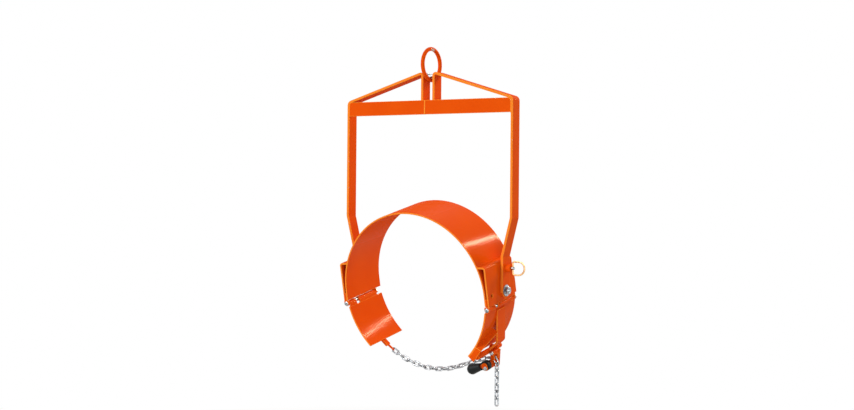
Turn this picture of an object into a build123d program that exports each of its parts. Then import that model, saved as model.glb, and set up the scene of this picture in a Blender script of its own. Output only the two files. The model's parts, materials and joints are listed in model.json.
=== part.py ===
from build123d import *
import math
import os

# Handler for a round load: a lifting ring, a welded yoke of two bent straps, a half-round
# saddle that tilts between the straps, and two hinged wings closed under the load by a chain.
# Millimetres, +Z up, origin at the crown of the lifting ring's eye.

os.makedirs("parts", exist_ok=True)

# Lifting ring and the stud it hangs on
ring_od = 124.0
ring_rod_d = 14.0
ring_play = 0.3
stud_d = 14.0
stud_nut_af = 22.0
stud_nut_h = 8.0
stud_below_peak = 10.7

# Yoke straps, heights measured from the pivot axis
strap_w = 46.0
strap_t = 9.0
jog = 34.5
post_x = 23.75
leg_round_below = 1.0
jog_low_h = 115.0
jog_up_h = 248.0
shoulder_h = 656.8
shoulder_rise = 95.9
jog_bend_r = 14.0
shoulder_bend_r = 14.0
peak_bend_r = 8.0

# Crossbar between the legs and the weld bead in its middle
crossbar_below_shoulder = 49.8
crossbar_depth = 50.0
crossbar_t = 9.0
post_short = 6.0
weld_x = -11.6
weld_w = 5.0
weld_proud = 1.6

# Tilt pivot
trunnion_d = 20.0
trunnion_thread_d = 16.0
trunnion_head_d = 36.0
bush_od = 25.0
bush_flange_od = 38.0
bush_flange_t = 1.35
pivot_washer_d = 40.0
pivot_washer_t = 3.0
pivot_nut_af = 24.0
pivot_nut_h = 10.0
pivot_end = 3.0
face_play = 0.15
running_play = 0.05
thread_play = 0.05

# Tilt lock on the right leg
lock_above_pivot = 75.5
lock_boss_d = 26.0
lock_boss_len = 21.5
lock_boss_wall = 4.0
lock_boss_round = 2.0
lock_bore_d = 19.0
lock_pin_d = 12.0
lock_pin_chamfer = 1.0
lock_nose_gap = 0.5
lock_collar_d = 18.0
lock_collar_t = 3.0
lock_collar_gap = 0.4
lock_pin_out = 10.0
lock_hole_d = 13.0
lock_spring_od = 17.0
lock_spring_id = 13.0
pull_wire_d = 6.0
pull_wide = 45.5
pull_tall = 45.0
pull_corner_r = 5.0
pull_bar_out = 5.0
pull_play = 0.1

# Saddle, in a frame tilted about the pivot axis: x across, y along the load, z up
rest_tilt = 12.7
seat_r = 286.5
band_t = 5.0
band_half = 103.0
band_skirt = 32.0
bracket_gap = 5.5
bracket_t = 6.0
bracket_up = 105.0
bracket_down = 34.5
bracket_short = 28.0
bracket_bend_r = 8.0
bar_h = 10.0

# Wing hinges
hinge_out = 2.0
hinge_down = 44.0
hinge_rod_d = 10.0
hinge_head_d = 16.0
hinge_head_t = 4.0
hinge_nut_af = 16.0
hinge_nut_h = 8.0
hinge_rod_end = 2.0
lug_t = 6.0
lug_r = 9.5
lug_set_back = 5.0
lug_tongue_up = 28.0
knuckle_d = 16.0
knuckle_gap = 1.0
bare_rod_front = -56.0
bare_rod_rear = -37.0
knuckle_play = 0.1

# Wings
wing_t = 5.0
neck_drop = 11.65
wing_low_deg = 47.0
left_low_deg = 43.0
wing_short = 5.0

# Stand-off arm, rib and cross tube of the right wing
arm_w = 52.0
arm_t = 6.5
arm_top_out = 0.5
arm_top_deg = 12.74
arm_bend_out = 33.06
arm_bend_deg = 33.77
arm_bend_r = 12.0
rib_h = 22.5
rib_t = 6.0
rib_front_deg = 37.5
rib_rear_deg = 27.3
tube_out = 21.2
tube_deg = 43.19
tube_d = 19.0
tube_rear = 58.0

# Chain
wire_d = 5.6
link_inner = 24.35
link_slack = 2.2
link_play = 0.35
bend_play = 0.5
chain_y = -12.0
chain_skin_play = 1.46
open_play = 0.6
eye_beyond_deg = 4.5
tail_links = 6
tail_turn_deg = 11.5
eye_pad_t = 9.5
eye_pad_half = 10.0
eye_pad_deg = 6.0

# Chain tightener
cam_out = 53.8
cam_deg = 48.35
cam_r = 11.0
cam_throw = 8.5
cam_throw_deg = 115.0
cam_boss_r = 8.5
cam_front = 60.0
cam_gap = 1.0
cam_chain_gap = 0.5
hang_deg = 25.0
lever_pin_d = 10.0
lever_head_d = 14.0
lever_head_t = 2.5
frame_front = 8.0
frame_t = 8.0
frame_tube_r = 15.0
frame_pin_r = 14.0
frame_bolt_r = 10.0
nut_af = 16.0
nut_h = 8.0
bolt_end = 3.0
claw_near = 10.5
claw_far = 25.0
claw_above = 2.0
claw_below = 32.0
claw_slot_below = 12.0
claw_front = 27.0
claw_slot_play = 1.1
claw_corner_r = 4.0
claw_bolt_d = 8.0
claw_bolt_af = 13.0
claw_bolt_head = 5.5
lever_deg = 196.0
lever_y = -46.0
lever_bar_d = 14.0
lever_len = 72.0
collar_d = 36.0
collar_w = 20.0
collar_round = 3.0
grip_start = 21.0
grip_neck_r = 12.0
grip_bulb_r = 19.0
grip_cap = 7.0

# Heights that follow from the ring and the stud
ring_mid_r = (ring_od - ring_rod_d) / 2
ring_z = -(ring_od / 2 - ring_rod_d)
stud_z = ring_z - ring_mid_r + ring_rod_d / 2 + ring_play + stud_d / 2
peak_h = shoulder_h + shoulder_rise
pivot_z = stud_z - (peak_h - stud_below_peak)

# Faces that follow from the seat, the bracket and the strap
band_r = seat_r + band_t
bracket_in_x = band_r + bracket_gap
bracket_face_x = bracket_in_x + bracket_t
leg_in_x = bracket_face_x + face_play + bush_flange_t
leg_low_x = leg_in_x + strap_t / 2
leg_out_x = leg_in_x + strap_t
leg_up_x = leg_low_x + jog
post_in_x = post_x - strap_t / 2
post_out_x = post_x + strap_t / 2
strap_front_y = -strap_w / 2
crossbar_back_y = strap_front_y + crossbar_t
crossbar_low_z = pivot_z + shoulder_h - crossbar_below_shoulder
crossbar_top_z = crossbar_low_z + crossbar_depth
crossbar_half = leg_up_x - strap_t / 2
shoulder_x = leg_out_x + face_play
washer_out_x = shoulder_x + pivot_washer_t
nut_out_x = washer_out_x + pivot_nut_h
lock_z = pivot_z + lock_above_pivot
boss_out_x = leg_out_x + lock_boss_len
boss_wall_x = boss_out_x - lock_boss_wall
collar_in_x = leg_out_x + lock_collar_gap
collar_out_x = collar_in_x + lock_collar_t
pull_x = boss_out_x + pull_bar_out
bracket_rear = band_half - bracket_short
hinge_x = band_r + hinge_out
lug_front_y = lug_set_back - band_half
lug_rear_y = bracket_rear
wing_out_r = seat_r + wing_t
neck_top_deg = math.degrees(math.asin(hinge_down / seat_r))
wing_top_deg = math.degrees(math.asin((hinge_down + neck_drop) / seat_r))
wing_rear = band_half - wing_short
link_w = 3 * wire_d + link_slack
link_end_r = (link_w - wire_d) / 2
chain_r = seat_r + link_end_r * math.sin(math.radians(45)) + wire_d / 2 + chain_skin_play
cam_rear = frame_front - cam_gap

# The saddle's frame and the planes square to its long axis
tilt = math.radians(rest_tilt)
along = Vector(0, math.cos(tilt), math.sin(tilt))
above = Vector(0, -math.sin(tilt), math.cos(tilt))
pivot = Vector(0, 0, pivot_z)


def saddle_point(x, y, z):
    """Point of the tilted saddle frame in the part's own frame."""
    return pivot + Vector(1, 0, 0) * x + along * y + above * z


def section(y):
    """Plane square to the saddle's long axis, x across and y up, facing the front."""
    return Plane(origin=saddle_point(0, y, 0), x_dir=(1, 0, 0), z_dir=-along)


def across(x):
    """Plane square to X at x, with Y along its x and Z along its y."""
    return Plane(origin=(x, 0, 0), x_dir=(0, 1, 0), z_dir=(1, 0, 0))


def polar(r, degrees):
    """Point at a radius and an angle in a section plane."""
    return (r * math.cos(math.radians(degrees)), r * math.sin(math.radians(degrees)))


def rod_x(x0, x1, y, z, d, mode=Mode.ADD):
    """Round bar along X from x0 to x1."""
    with BuildSketch(across(x0)) as disc:
        with Locations((y, z)):
            Circle(d / 2)
    extrude(disc.sketch, amount=x1 - x0, mode=mode)


def hex_x(x0, x1, y, z, flats):
    """Hexagon bar along X from x0 to x1."""
    with BuildSketch(across(x0)) as hexagon:
        with Locations((y, z)):
            RegularPolygon(flats / 2, 6, major_radius=False)
    extrude(hexagon.sketch, amount=x1 - x0)


def rod_y(y0, y1, point, d, mode=Mode.ADD):
    """Round bar along the saddle's long axis from y0 to y1."""
    with BuildSketch(section(y1)) as disc:
        with Locations(point):
            Circle(d / 2)
    extrude(disc.sketch, amount=y1 - y0, mode=mode)


def hex_y(y0, y1, point, flats):
    """Hexagon bar along the saddle's long axis from y0 to y1."""
    with BuildSketch(section(y1)) as hexagon:
        with Locations(point):
            RegularPolygon(flats / 2, 6, major_radius=False)
    extrude(hexagon.sketch, amount=y1 - y0)


def sector(r0, r1, deg0, deg1):
    """Ring sector in the current sketch, between two radii and two angles."""
    mid = (deg0 + deg1) / 2
    with BuildLine() as edge:
        inner = ThreePointArc(polar(r0, deg0), polar(r0, mid), polar(r0, deg1))
        outer = ThreePointArc(polar(r1, deg0), polar(r1, mid), polar(r1, deg1))
        Line(inner @ 0, outer @ 0)
        Line(inner @ 1, outer @ 1)
    make_face(edge.edges())


def save(part, name):
    """Names a piece and writes its file."""
    part.label = name
    export_step(part, "parts/" + name + ".step")


# Lifting ring and its stud

with BuildPart() as lifting_ring:
    with BuildSketch(Plane.XZ):
        with Locations((0, ring_z + ring_mid_r)):
            Circle(ring_rod_d / 2)
    revolve(axis=Axis((0, 0, ring_z), (1, 0, 0)))
save(lifting_ring.part, "lifting_ring")

with BuildPart() as ring_stud:
    rod_x(-post_out_x, post_out_x, 0, stud_z, stud_d)
save(ring_stud.part, "ring_stud")

with BuildPart() as ring_stud_nuts:
    hex_x(post_in_x - stud_nut_h, post_in_x, 0, stud_z, stud_nut_af)
    hex_x(-post_in_x, -post_in_x + stud_nut_h, 0, stud_z, stud_nut_af)
    rod_x(-post_in_x, post_in_x, 0, stud_z, stud_d + 2 * thread_play, Mode.SUBTRACT)
save(ring_stud_nuts.part, "ring_stud_nuts")


# Yoke

def shoulder_route(side):
    """Corner points of a strap's middle line: upper leg, shoulder and peak."""
    return [
        (side * leg_up_x, pivot_z + jog_up_h),
        (side * leg_up_x, pivot_z + shoulder_h),
        (side * post_x, pivot_z + peak_h),
    ]


def strap(side, lock):
    """One bent flat bar: lower leg, jog, upper leg, sloping shoulder and centre post."""
    low_z = pivot_z - leg_round_below
    foot = [
        (side * leg_low_x, low_z - strap_w / 2),
        (side * leg_low_x, pivot_z + jog_low_h),
    ]
    post_end = (side * post_x, crossbar_low_z + post_short)
    route = foot + shoulder_route(side) + [post_end]
    bends = [jog_bend_r, jog_bend_r, shoulder_bend_r, peak_bend_r]
    with BuildPart() as bar:
        with BuildSketch(Plane.XZ):
            with BuildLine():
                FilletPolyline(*route, radius=bends)
            trace(line_width=strap_t)
        extrude(amount=strap_w / 2, both=True)
        with BuildSketch(across(0)):
            with Locations((0, low_z)):
                Circle(strap_w / 2)
            with Locations((0, low_z / 2)):
                Rectangle(strap_w, -low_z)
        extrude(amount=side * (leg_up_x + strap_t), mode=Mode.INTERSECT)
        with Locations((side * post_x, (strap_front_y + crossbar_back_y) / 2, crossbar_low_z)):
            Box(2 * strap_t, crossbar_t, 2 * crossbar_depth, mode=Mode.SUBTRACT)
        rod_x(side * leg_in_x, side * leg_out_x, 0, pivot_z, bush_od, Mode.SUBTRACT)
        rod_x(0, side * post_out_x, 0, stud_z, stud_d + 2 * thread_play, Mode.SUBTRACT)
        if lock:
            rod_x(leg_in_x, leg_out_x, 0, lock_z, lock_pin_d + 2 * running_play, Mode.SUBTRACT)
    return bar.part


save(strap(-1, False), "left_strap")
save(strap(1, True), "right_strap")

with BuildPart() as crossbar:
    with BuildSketch(Plane.XZ.offset(-crossbar_back_y)):
        with Locations((0, (crossbar_low_z + crossbar_top_z) / 2)):
            Rectangle(2 * crossbar_half, crossbar_depth)
        for side in (-1, 1):
            with BuildLine():
                FilletPolyline(*shoulder_route(side), radius=shoulder_bend_r)
            trace(line_width=strap_t, mode=Mode.SUBTRACT)
    extrude(amount=crossbar_t)
save(crossbar.part, "crossbar")

with BuildPart() as crossbar_weld:
    with BuildSketch(Plane.XY.offset(crossbar_low_z)):
        with BuildLine():
            Line((weld_x - weld_w / 2, strap_front_y), (weld_x + weld_w / 2, strap_front_y))
            ThreePointArc(
                (weld_x - weld_w / 2, strap_front_y),
                (weld_x, strap_front_y - weld_proud),
                (weld_x + weld_w / 2, strap_front_y),
            )
        make_face()
    extrude(amount=crossbar_depth)
save(crossbar_weld.part, "crossbar_weld")


def pivot_bush(side):
    """Flanged bush in a leg: sleeve through the bar, flange towards the saddle."""
    flange_in = bracket_face_x + face_play
    with BuildPart() as bush:
        rod_x(side * leg_in_x, side * leg_out_x, 0, pivot_z, bush_od)
        rod_x(side * flange_in, side * leg_in_x, 0, pivot_z, bush_flange_od)
        bore = trunnion_d + 2 * running_play
        rod_x(side * flange_in, side * leg_out_x, 0, pivot_z, bore, Mode.SUBTRACT)
    return bush.part


save(pivot_bush(-1), "left_pivot_bush")
save(pivot_bush(1), "right_pivot_bush")


# Tilt lock

with BuildPart() as lock_boss:
    rod_x(leg_out_x, boss_out_x, 0, lock_z, lock_boss_d)
    fillet(lock_boss.edges().group_by(Axis.X)[-1], lock_boss_round)
    rod_x(leg_out_x, boss_wall_x, 0, lock_z, lock_bore_d, Mode.SUBTRACT)
    rod_x(boss_wall_x, boss_out_x, 0, lock_z, lock_pin_d + 2 * running_play, Mode.SUBTRACT)
save(lock_boss.part, "lock_boss")

with BuildPart() as lock_pin:
    rod_x(bracket_face_x + lock_nose_gap, boss_out_x + lock_pin_out, 0, lock_z, lock_pin_d)
    chamfer(lock_pin.edges().filter_by(GeomType.CIRCLE), lock_pin_chamfer)
    rod_x(collar_in_x, collar_out_x, 0, lock_z, lock_collar_d)
    with BuildSketch(Plane.XY.offset(lock_z - lock_pin_d)):
        with Locations((pull_x, 0)):
            Circle(pull_wire_d / 2 + pull_play)
    extrude(amount=2 * lock_pin_d, mode=Mode.SUBTRACT)
save(lock_pin.part, "lock_pin")

with BuildPart() as lock_spring:
    rod_x(collar_out_x, boss_wall_x, 0, lock_z, lock_spring_od)
    rod_x(collar_out_x, boss_wall_x, 0, lock_z, lock_spring_id, Mode.SUBTRACT)
save(lock_spring.part, "lock_spring")

with BuildPart() as pull_ring:
    half = pull_tall / 2
    corner = pull_corner_r
    arm_x = pull_x + pull_wide - half
    with BuildLine(Plane.XZ):
        FilletPolyline(
            (pull_x, lock_z),
            (pull_x, lock_z + half),
            (arm_x, lock_z + half),
            radius=corner,
        )
        ThreePointArc((arm_x, lock_z + half), (arm_x + half, lock_z), (arm_x, lock_z - half))
        FilletPolyline(
            (arm_x, lock_z - half),
            (pull_x, lock_z - half),
            (pull_x, lock_z),
            radius=corner,
        )
    with BuildSketch(Plane(origin=(pull_x, 0, lock_z), z_dir=(0, 0, 1))):
        Circle(pull_wire_d / 2)
    sweep()
save(pull_ring.part, "pull_ring")


# Saddle

with BuildPart() as saddle_band:
    with BuildSketch(section(band_half)):
        Circle(band_r)
        with Locations((0, -band_skirt / 2)):
            Rectangle(2 * band_r, band_skirt)
        Circle(seat_r, mode=Mode.SUBTRACT)
        with Locations((0, -band_r)):
            Rectangle(2 * seat_r, 2 * band_r, mode=Mode.SUBTRACT)
        with Locations((0, -band_skirt - band_r)):
            Rectangle(3 * band_r, 2 * band_r, mode=Mode.SUBTRACT)
    extrude(amount=2 * band_half)
save(saddle_band.part, "saddle_band")


def bracket(side, lock):
    """Bent plate over the band: upright web at the pivot and a top flange to the band."""
    web_x = side * (bracket_face_x - bracket_t / 2)
    with BuildPart() as plate:
        with BuildSketch(section(bracket_rear)):
            with BuildLine():
                FilletPolyline(
                    (web_x, -bracket_down),
                    (web_x, bracket_up - bracket_t / 2),
                    (side * seat_r / 2, bracket_up - bracket_t / 2),
                    radius=bracket_bend_r,
                )
            trace(line_width=bracket_t)
            Circle(band_r, mode=Mode.SUBTRACT)
        extrude(amount=band_half + bracket_rear)
        rod_x(side * bracket_in_x, side * bracket_face_x, 0, pivot_z, trunnion_d, Mode.SUBTRACT)
        if lock:
            spot = saddle_point(0, -lock_above_pivot, 0)
            rod_x(bracket_in_x, bracket_face_x, spot.Y, spot.Z, lock_hole_d, Mode.SUBTRACT)
            spot = saddle_point(0, 0, lock_above_pivot)
            rod_x(bracket_in_x, bracket_face_x, spot.Y, spot.Z, lock_hole_d, Mode.SUBTRACT)
    return plate.part


def bracket_bar(side):
    """Filler bar between the band's skirt and the bracket's web."""
    with BuildPart() as bar:
        with BuildSketch(section(lug_rear_y - lug_t)):
            with Locations((side * (band_r + bracket_in_x) / 2, -bracket_down + bar_h / 2)):
                Rectangle(bracket_in_x - band_r, bar_h)
        extrude(amount=lug_rear_y - lug_t - lug_front_y)
    return bar.part


def trunnion(side):
    """Pivot pin welded in the bracket: inner head, bearing length and threaded end."""
    with BuildPart() as pin:
        rod_x(side * (band_r + lock_nose_gap), side * bracket_in_x, 0, pivot_z, trunnion_head_d)
        rod_x(side * bracket_in_x, side * shoulder_x, 0, pivot_z, trunnion_d)
        rod_x(side * shoulder_x, side * (nut_out_x + pivot_end), 0, pivot_z, trunnion_thread_d)
    return pin.part


def hinge_lugs(side):
    """Two hinge lugs, each a rounded plate with a tongue on the skirt."""
    tongue_x = side * (band_r + bracket_in_x) / 2
    with BuildPart() as lugs:
        for lug_y in (lug_front_y, lug_rear_y):
            with BuildSketch(section(lug_y)):
                with Locations((side * hinge_x, -hinge_down)):
                    Circle(lug_r)
                with Locations((side * hinge_x, -(bracket_down + hinge_down) / 2)):
                    Rectangle(2 * lug_r, hinge_down - bracket_down)
                with Locations((tongue_x, -bracket_down + lug_tongue_up / 2)):
                    Rectangle(bracket_in_x - band_r, lug_tongue_up)
                with Locations((side * hinge_x, -hinge_down)):
                    Circle(hinge_rod_d / 2 + thread_play, mode=Mode.SUBTRACT)
                Circle(seat_r, mode=Mode.SUBTRACT)
            extrude(amount=lug_t)
    return lugs.part


def hinge_rod(side):
    """Hinge rod with a round head at the front and a threaded rear end."""
    front = lug_front_y - lug_t
    point = (side * hinge_x, -hinge_down)
    with BuildPart() as rod:
        rod_y(front, lug_rear_y + hinge_nut_h + hinge_rod_end, point, hinge_rod_d)
        rod_y(front - hinge_head_t, front, point, hinge_head_d)
    return rod.part


save(bracket(-1, False), "left_bracket")
save(bracket(1, True), "right_bracket")
save(bracket_bar(-1), "left_bracket_bar")
save(bracket_bar(1), "right_bracket_bar")
save(trunnion(-1), "left_trunnion")
save(trunnion(1), "right_trunnion")
save(hinge_lugs(-1), "left_hinge_lugs")
save(hinge_lugs(1), "right_hinge_lugs")
save(hinge_rod(-1), "left_hinge_rod")
save(hinge_rod(1), "right_hinge_rod")

with BuildPart() as pivot_washers:
    for side in (-1, 1):
        rod_x(side * shoulder_x, side * washer_out_x, 0, pivot_z, pivot_washer_d)
    bore = trunnion_thread_d + 2 * thread_play
    rod_x(-washer_out_x, washer_out_x, 0, pivot_z, bore, Mode.SUBTRACT)
save(pivot_washers.part, "pivot_washers")

with BuildPart() as pivot_nuts:
    for side in (-1, 1):
        hex_x(side * washer_out_x, side * nut_out_x, 0, pivot_z, pivot_nut_af)
    rod_x(-nut_out_x, nut_out_x, 0, pivot_z, bore, Mode.SUBTRACT)
save(pivot_nuts.part, "pivot_nuts")

with BuildPart() as hinge_rod_nuts:
    for side in (-1, 1):
        point = (side * hinge_x, -hinge_down)
        hex_y(lug_rear_y, lug_rear_y + hinge_nut_h, point, hinge_nut_af)
        bore = hinge_rod_d + 2 * thread_play
        rod_y(lug_rear_y, lug_rear_y + hinge_nut_h, point, bore, Mode.SUBTRACT)
save(hinge_rod_nuts.part, "hinge_rod_nuts")


# Wings

def side_deg(side, degrees):
    """Angle below the horizontal on the right or on the left."""
    return -degrees if side > 0 else degrees - 180


def wing_plate(side, low_deg):
    """Rolled plate that holds the load below the hinge."""
    with BuildPart() as plate:
        with BuildSketch(section(wing_rear)):
            sector(seat_r, wing_out_r, side_deg(side, wing_top_deg), side_deg(side, low_deg))
        extrude(amount=band_half + wing_rear)
    return plate.part


def knuckle(side, y0, y1):
    """Hinge sleeve with the neck that joins it to the wing plate."""
    point = (side * hinge_x, -hinge_down)
    with BuildPart() as sleeve:
        with BuildSketch(section(y1)):
            sector(seat_r, wing_out_r, side_deg(side, neck_top_deg), side_deg(side, wing_top_deg))
            with Locations(point):
                Circle(knuckle_d / 2)
                Circle(hinge_rod_d / 2 + knuckle_play, mode=Mode.SUBTRACT)
        extrude(amount=y1 - y0)
    return sleeve.part


front_knuckle = (lug_front_y + knuckle_gap, bare_rod_front)
rear_knuckle = (bare_rod_rear, lug_rear_y - lug_t - knuckle_gap)
for side, word, low_deg in ((-1, "left", left_low_deg), (1, "right", wing_low_deg)):
    save(wing_plate(side, low_deg), word + "_wing_plate")
    save(knuckle(side, *front_knuckle), word + "_knuckle_front")
    save(knuckle(side, *rear_knuckle), word + "_knuckle_rear")

tube = polar(wing_out_r + tube_out, -tube_deg)
arm_top = polar(wing_out_r + arm_top_out, -arm_top_deg)
arm_bend = polar(wing_out_r + arm_bend_out, -arm_bend_deg)
arm_route = (arm_top, arm_bend, tube)

with BuildPart() as right_arm:
    with BuildSketch(section(arm_w / 2)):
        with BuildLine():
            FilletPolyline(*arm_route, radius=arm_bend_r)
        trace(line_width=arm_t)
        Circle(wing_out_r, mode=Mode.SUBTRACT)
        with Locations(tube):
            Circle(tube_d / 2, mode=Mode.SUBTRACT)
    extrude(amount=arm_w)
save(right_arm.part, "right_arm")

rib_mid_r = wing_out_r + rib_h / 2
rib_ax, rib_az = polar(rib_mid_r, -rib_front_deg)
rib_bx, rib_bz = polar(rib_mid_r, -rib_rear_deg)
rib_start = saddle_point(rib_ax, -band_half + rib_t / 2, rib_az)
rib_stop = saddle_point(rib_bx, -arm_w / 2, rib_bz)
rib_out = polar(1, -(rib_front_deg + rib_rear_deg) / 2)
rib_outward = Vector(1, 0, 0) * rib_out[0] + above * rib_out[1]
rib_along = rib_stop - rib_start
rib_plane = Plane(
    origin=(rib_start + rib_stop) * 0.5,
    x_dir=rib_along,
    z_dir=rib_along.cross(rib_outward),
)

with BuildPart() as right_rib:
    with BuildSketch(rib_plane):
        Rectangle(2 * rib_along.length, rib_h)
        with Locations((0, -rib_h / 2)):
            Rectangle(2 * rib_along.length, rib_h)
    extrude(amount=rib_t / 2, both=True)
    with BuildSketch(section(-arm_w / 2)):
        sector(wing_out_r, wing_out_r + 2 * rib_h, -rib_front_deg - 10, -rib_rear_deg + 10)
    extrude(amount=band_half - arm_w / 2, mode=Mode.INTERSECT)
    with BuildSketch(section(-band_half + rib_t)):
        sector(wing_out_r, wing_out_r + rib_h, -rib_front_deg, -wing_low_deg)
    extrude(amount=rib_t)
save(right_rib.part, "right_rib")

with BuildPart() as cross_tube:
    rod_y(-band_half + rib_t, tube_rear, tube, tube_d)
save(cross_tube.part, "cross_tube")


# Chain tightener

cam_side = polar(cam_throw, cam_throw_deg)
cam_x, cam_z = polar(wing_out_r + cam_out, -cam_deg)
lever_axis = (cam_x - cam_side[0], cam_z - cam_side[1])
claw_mid_x = tube[0] + (claw_near + claw_far) / 2
claw_slot_z = tube[1] - claw_slot_below
claw_bolt = (claw_mid_x, tube[1] + (claw_above - claw_slot_below) / 2)
claw_slot_half = link_w / 2 + claw_slot_play
frame_rear = frame_front + frame_t

with BuildPart() as frame_plate:
    with BuildSketch(section(frame_rear)):
        with Locations(tube):
            Circle(frame_tube_r)
        with Locations(lever_axis):
            Circle(frame_pin_r)
        with Locations(claw_bolt):
            Circle(frame_bolt_r)
        make_hull()
        with Locations(tube):
            Circle(tube_d / 2, mode=Mode.SUBTRACT)
        with Locations(lever_axis):
            Circle(lever_pin_d / 2, mode=Mode.SUBTRACT)
        with Locations(claw_bolt):
            Circle(claw_bolt_d / 2 + thread_play, mode=Mode.SUBTRACT)
        with BuildLine():
            FilletPolyline(*arm_route, radius=arm_bend_r)
        trace(line_width=arm_t, mode=Mode.SUBTRACT)
    extrude(amount=frame_t)
save(frame_plate.part, "frame_plate")

with BuildPart() as chain_claw:
    with BuildSketch(section(frame_front)):
        with Locations((claw_mid_x, tube[1] + (claw_above - claw_below) / 2)):
            RectangleRounded(claw_far - claw_near, claw_above + claw_below, claw_corner_r)
        with Locations(claw_bolt):
            Circle(claw_bolt_d / 2 + thread_play, mode=Mode.SUBTRACT)
    extrude(amount=frame_front + claw_front)
    with BuildSketch(section(chain_y + claw_slot_half)):
        with Locations((claw_mid_x, claw_slot_z - claw_below / 2)):
            Rectangle(2 * claw_far, claw_below)
    extrude(amount=2 * claw_slot_half, mode=Mode.SUBTRACT)
save(chain_claw.part, "chain_claw")

with BuildPart() as claw_bolt_piece:
    rod_y(-claw_front, frame_rear + nut_h + bolt_end, claw_bolt, claw_bolt_d)
    hex_y(-claw_front - claw_bolt_head, -claw_front, claw_bolt, claw_bolt_af)
save(claw_bolt_piece.part, "claw_bolt")

with BuildPart() as claw_bolt_nut:
    hex_y(frame_rear, frame_rear + nut_h, claw_bolt, claw_bolt_af)
    bore = claw_bolt_d + 2 * thread_play
    rod_y(frame_rear, frame_rear + nut_h, claw_bolt, bore, Mode.SUBTRACT)
save(claw_bolt_nut.part, "claw_bolt_nut")

with BuildPart() as lever_pin:
    rod_y(-cam_front - face_play, frame_rear + nut_h + bolt_end, lever_axis, lever_pin_d)
    rod_y(-cam_front - face_play - lever_head_t, -cam_front - face_play, lever_axis, lever_head_d)
save(lever_pin.part, "lever_pin")

with BuildPart() as lever_pin_nut:
    hex_y(frame_rear, frame_rear + nut_h, lever_axis, nut_af)
    bore = lever_pin_d + 2 * thread_play
    rod_y(frame_rear, frame_rear + nut_h, lever_axis, bore, Mode.SUBTRACT)
save(lever_pin_nut.part, "lever_pin_nut")


def cam_outline(extra):
    """Egg-shaped outline of the eccentric: chain pulley and pivot boss."""
    with Locations((cam_x, cam_z)):
        Circle(cam_r + extra)
    with Locations(lever_axis):
        Circle(cam_boss_r + extra)
    make_hull()


with BuildPart() as tightener_cam:
    with BuildSketch(section(cam_rear)):
        cam_outline(0)
        with Locations(lever_axis):
            Circle(lever_pin_d / 2 + running_play, mode=Mode.SUBTRACT)
    extrude(amount=cam_front + cam_rear)
save(tightener_cam.part, "tightener_cam")

lever_dir = polar(1, lever_deg)
lever_root = saddle_point(cam_x, lever_y, cam_z)
lever_way = Vector(1, 0, 0) * lever_dir[0] + above * lever_dir[1]
lever_start = Plane(origin=lever_root, x_dir=along, z_dir=lever_way)

with BuildPart() as lever_bar:
    with BuildSketch(lever_start):
        Circle(lever_bar_d / 2)
    extrude(amount=lever_len)
    with BuildSketch(section(cam_rear)):
        cam_outline(0)
    extrude(amount=cam_front + cam_rear, mode=Mode.SUBTRACT)
save(lever_bar.part, "lever_bar")

with BuildPart() as lever_collar:
    with BuildSketch(section(lever_y + collar_w / 2)):
        with Locations((cam_x, cam_z)):
            Circle(collar_d / 2)
    extrude(amount=collar_w)
    fillet(lever_collar.edges(), collar_round)
    with BuildSketch(section(cam_rear)):
        cam_outline(0)
    extrude(amount=cam_front + cam_rear, mode=Mode.SUBTRACT)
    with BuildSketch(lever_start):
        Circle(lever_bar_d / 2)
    extrude(amount=lever_len, mode=Mode.SUBTRACT)
save(lever_collar.part, "lever_collar")

grip_plane = Plane(origin=lever_root, x_dir=along, z_dir=along.cross(lever_way))
grip_end = lever_len + grip_cap
bulb_mid = grip_end - grip_bulb_r
flare = math.degrees(math.asin((grip_bulb_r - grip_neck_r) / (bulb_mid - grip_start)))


def on_bulb(degrees):
    """Point of the grip's round end in the plane of its profile."""
    across_bar, along_bar = polar(grip_bulb_r, degrees)
    return (across_bar, bulb_mid + along_bar)


with BuildPart() as lever_grip:
    with BuildSketch(grip_plane):
        with BuildLine():
            Polyline((0, grip_end), (0, grip_start), (grip_neck_r, grip_start), on_bulb(-flare))
            ThreePointArc(on_bulb(-flare), on_bulb(45), (0, grip_end))
        make_face()
    revolve(axis=Axis(lever_root, lever_way))
    with BuildSketch(lever_start):
        Circle(lever_bar_d / 2)
    extrude(amount=lever_len, mode=Mode.SUBTRACT)
save(lever_grip.part, "lever_grip")


# Chain: links lie turned 45 degrees either way round the load. One link lies flat over
# the eccentric, the next stands on edge beside it, and the tail hangs from that one.

pitch = link_inner - link_play
link_reach = (link_inner + wire_d) / 2
link_side = link_reach - link_end_r
cam_chain_r = cam_r + cam_chain_gap + link_w / 2
cam_far = wing_out_r + cam_out
cam_at = math.radians(-cam_deg)
leave_at = cam_at - math.acos((chain_r + cam_chain_r) / cam_far)
straight = math.sqrt(cam_far**2 - (chain_r + cam_chain_r) ** 2)


def chain_point(s):
    """Chain's centre line, s from the eccentric back round the load to the left wing."""
    if s < straight:
        ux, uz = polar(1, math.degrees(leave_at))
        back = straight - s
        return (chain_r * ux - back * uz, chain_r * uz + back * ux)
    return polar(chain_r, math.degrees(leave_at - (s - straight) / chain_r))


def place_at(start, s, step):
    """Place on the centre line beyond s that is one step from a point."""
    near = s
    far = s + 2 * step
    for _ in range(40):
        mid = (near + far) / 2
        if math.dist(start, chain_point(mid)) < step:
            near = mid
        else:
            far = mid
    return near


def link_plane(start, stop, flat, upright):
    """Plane of a link lying from one point to another; its width mixes two directions."""
    way = Vector(1, 0, 0) * (stop[0] - start[0]) + above * (stop[1] - start[1])
    wide = along * flat + along.cross(way.normalized()) * upright
    centre = saddle_point((start[0] + stop[0]) / 2, chain_y, (start[1] + stop[1]) / 2)
    return Plane(origin=centre, x_dir=way, z_dir=way.cross(wide))


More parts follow.
